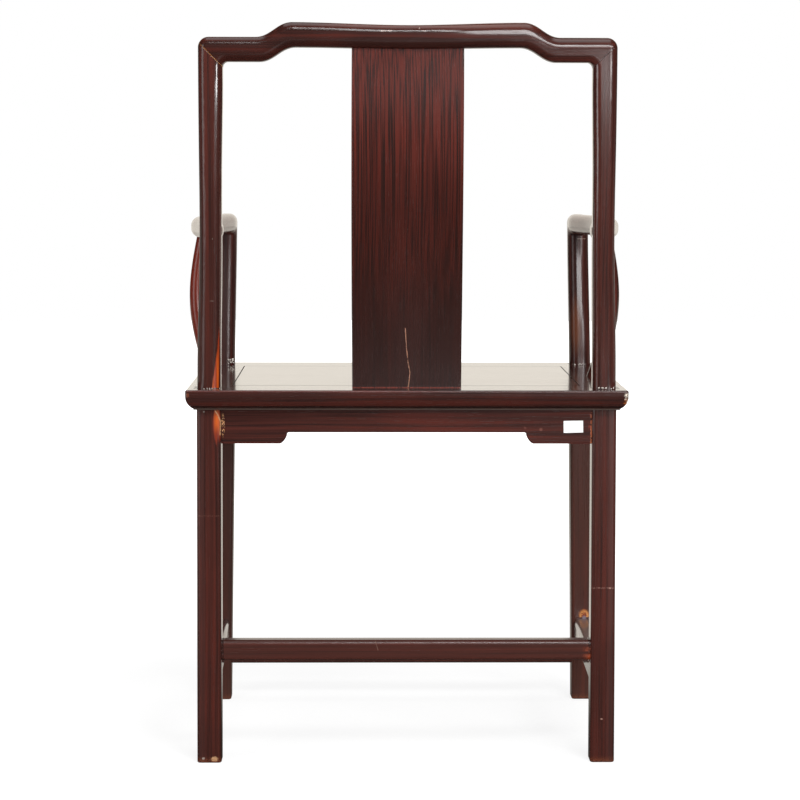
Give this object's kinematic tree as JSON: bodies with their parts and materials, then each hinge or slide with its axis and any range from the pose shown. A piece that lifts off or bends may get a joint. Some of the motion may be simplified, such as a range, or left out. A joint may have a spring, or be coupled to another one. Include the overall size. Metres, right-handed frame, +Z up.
{
  "type": "official hat armchair",
  "caption": "Hardwood official's hat armchair: stepped crest rail, one curved splat, bowed arms with struts, moulded panel seat, stepped aprons and rising stretchers.",
  "frame": {"origin": "on the floor, under the middle of the whole chair's box", "axes": "+Z up; the sitter faces -Y; +X is the sitter's left"},
  "size_m": [0.6074, 0.4572, 0.9938],
  "materials": {
    "frame_wood": "dark reddish brown hardwood, polished lacquer",
    "splat_wood": "redder straight-grained hardwood, polished lacquer",
    "panel_wood": "dark hardwood board, glossy lacquer",
    "inner_wood": "thinly stained hardwood, matt",
    "peg_wood": "dark hardwood pegs, planed flush"
  },
  "bodies": {
    "root": {"rear_leg_left": "frame_wood", "rear_leg_right": "frame_wood", "front_leg_left": "frame_wood", "front_leg_right": "frame_wood", "crest_rail": "frame_wood", "arm_left": "frame_wood", "arm_right": "frame_wood", "arm_strut_left": "frame_wood", "arm_strut_right": "frame_wood", "seat_rail_rear": "frame_wood", "seat_rail_front": "frame_wood", "seat_rail_left": "frame_wood", "seat_rail_right": "frame_wood", "apron_rear": "frame_wood", "apron_front": "frame_wood", "apron_left": "frame_wood", "apron_right": "frame_wood", "stretcher_rear": "frame_wood", "stretcher_left": "frame_wood", "stretcher_right": "frame_wood", "footrest_rail": "frame_wood", "back_splat": "splat_wood", "seat_panel": "panel_wood", "seat_batten_left": "inner_wood", "seat_batten_right": "inner_wood", "crest_pegs": "peg_wood", "arm_pegs": "peg_wood", "seat_frame_pegs": "peg_wood"}
  },
  "joints": []
}
